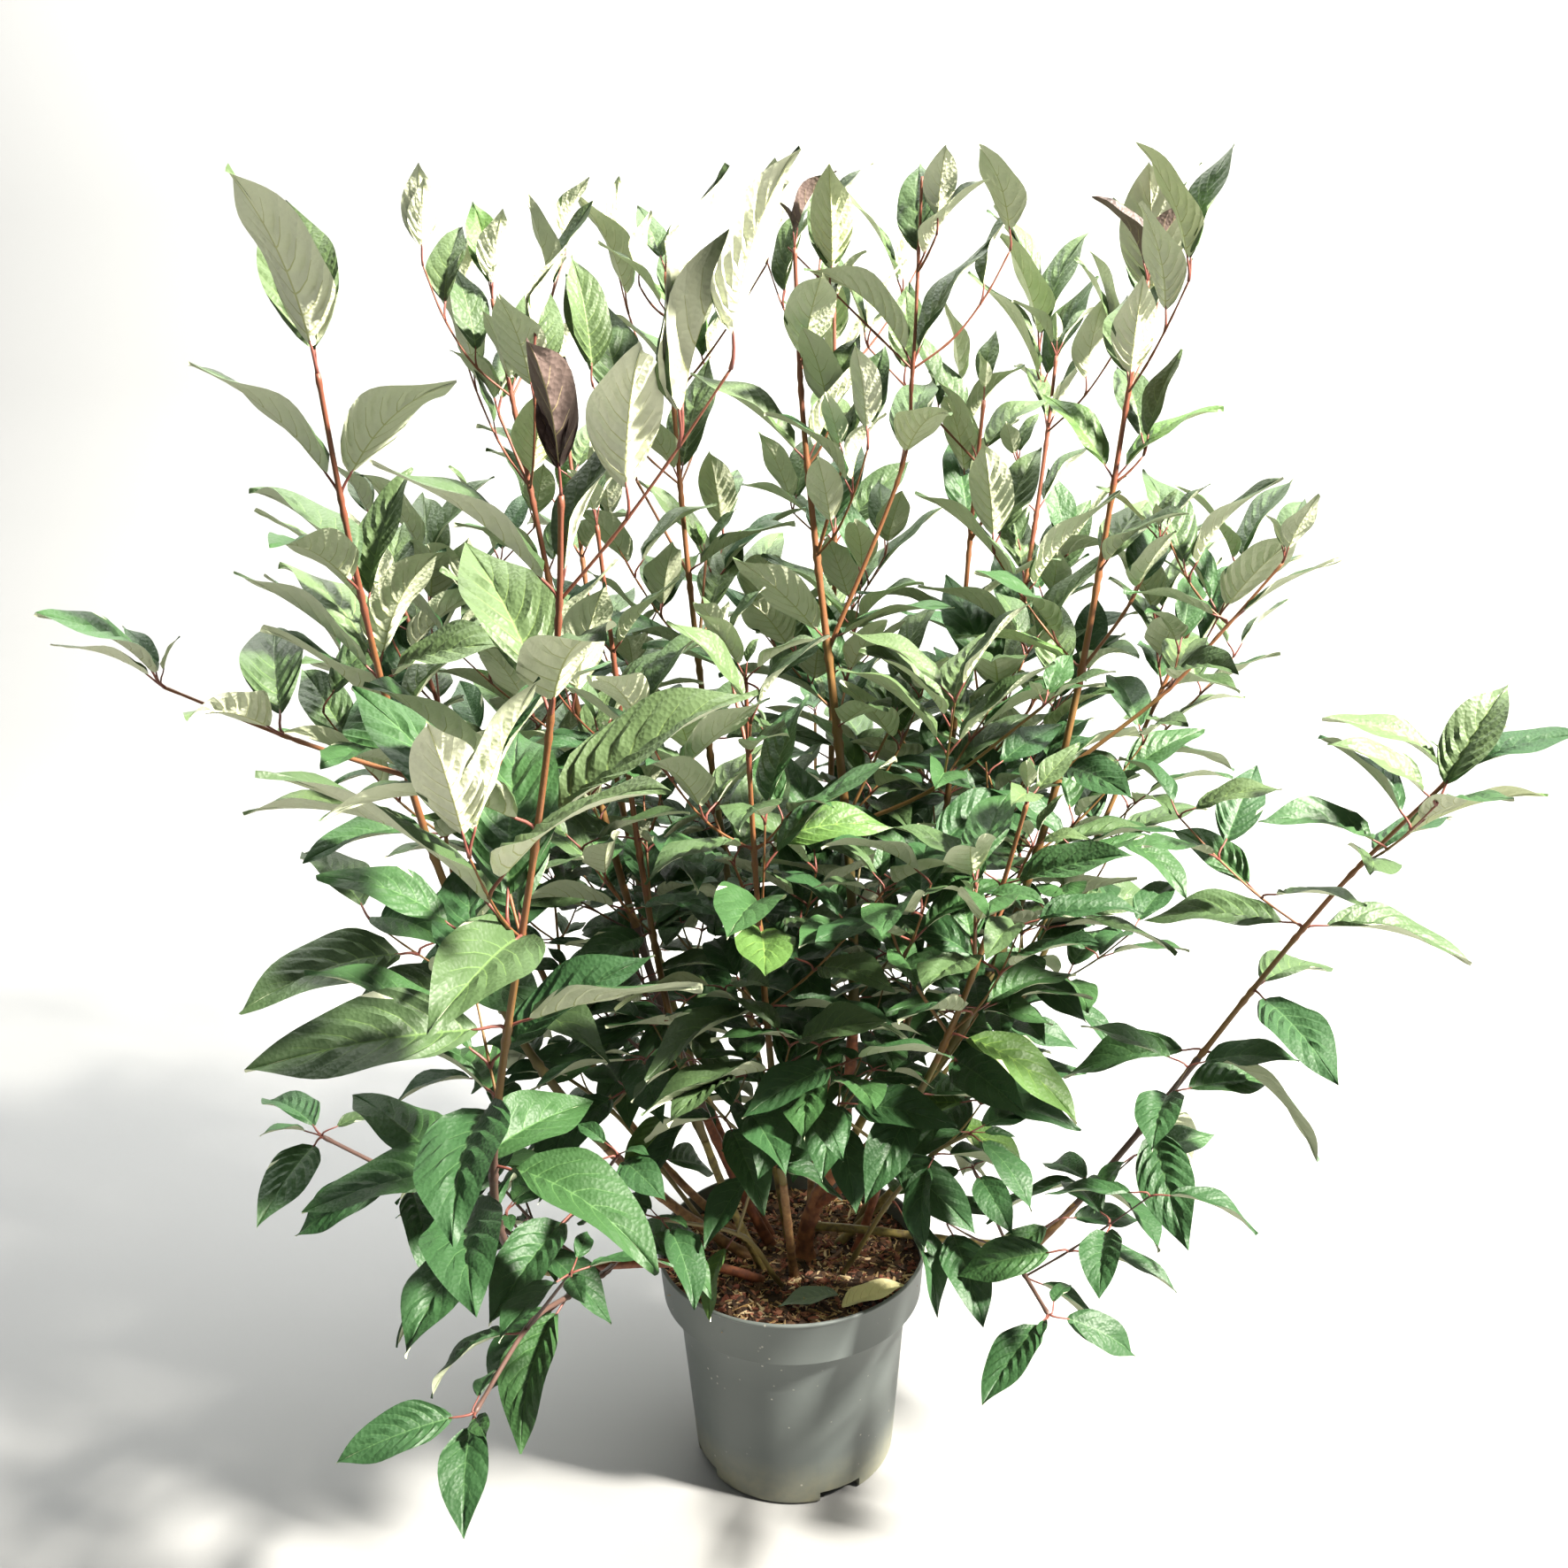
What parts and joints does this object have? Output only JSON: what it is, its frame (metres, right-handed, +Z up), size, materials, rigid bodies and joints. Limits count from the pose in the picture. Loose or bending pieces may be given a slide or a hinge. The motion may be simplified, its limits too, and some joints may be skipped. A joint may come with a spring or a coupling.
{
  "type": "potted kesselringii red-barked dogwood",
  "caption": "Whole dogwood shrub in a round plastic nursery pot: a short trunk and a fan of upright stems with opposite pairs of pointed leaves.",
  "frame": {"origin": "The middle of the flat underside of the pot, on the ground.", "axes": "+Z is up along the pot's axis. The side that shows most, with the tall stem that leans out to the front left, faces -Y; +X is to the right of it."},
  "size_m": [1.1703, 1.0855, 1.2969],
  "materials": {
    "pot_plastic": "mid grey moulded plastic, dull, dusty near the foot",
    "bark_mix": "potting mix of composted bark and wood chips, rough and dull",
    "bark": "red-brown bark, thin and slightly ridged",
    "bough_bark": "smooth young bark, olive to orange-brown, with small raised pores",
    "foliage": "soft matt green leaves, paler underneath, on red-brown twigs"
  },
  "bodies": {
    "root": {"pot": "pot_plastic", "potting_mix": "bark_mix", "trunk": "bark", "bough_centre": "bough_bark", "bough_right": "bough_bark", "bough_left": "bough_bark", "bough_left_centre": "bough_bark", "bough_middle_back": "bough_bark", "bough_back": "bough_bark", "bough_back_left": "bough_bark", "bough_back_right": "bough_bark", "bough_far_left": "bough_bark", "bough_right_inner": "bough_bark", "bough_right_back": "bough_bark", "bough_front": "bough_bark", "bough_front_right": "bough_bark", "bough_left_inner": "bough_bark", "bough_low_back": "bough_bark", "bough_over_left_rim": "bough_bark", "bough_front_left": "bough_bark", "bough_over_right_rim": "bough_bark", "bough_far_right": "bough_bark", "foliage_centre": "foliage", "foliage_right": "foliage", "foliage_left": "foliage", "foliage_left_centre": "foliage", "foliage_middle_back": "foliage", "foliage_back": "foliage", "foliage_back_left": "foliage", "foliage_back_right": "foliage", "foliage_far_left": "foliage", "foliage_right_inner": "foliage", "foliage_right_back": "foliage", "foliage_front": "foliage", "foliage_front_right": "foliage", "foliage_left_inner": "foliage", "foliage_low_back": "foliage", "foliage_front_left": "foliage", "foliage_low_left": "foliage", "foliage_low_front": "foliage", "foliage_far_right": "foliage", "foliage_low_right": "foliage", "foliage_rim_left": "foliage", "foliage_rim_right": "foliage", "foliage_rim_back_right": "foliage", "foliage_rim_back_left": "foliage", "foliage_rim_far_left": "foliage"}
  },
  "joints": []
}
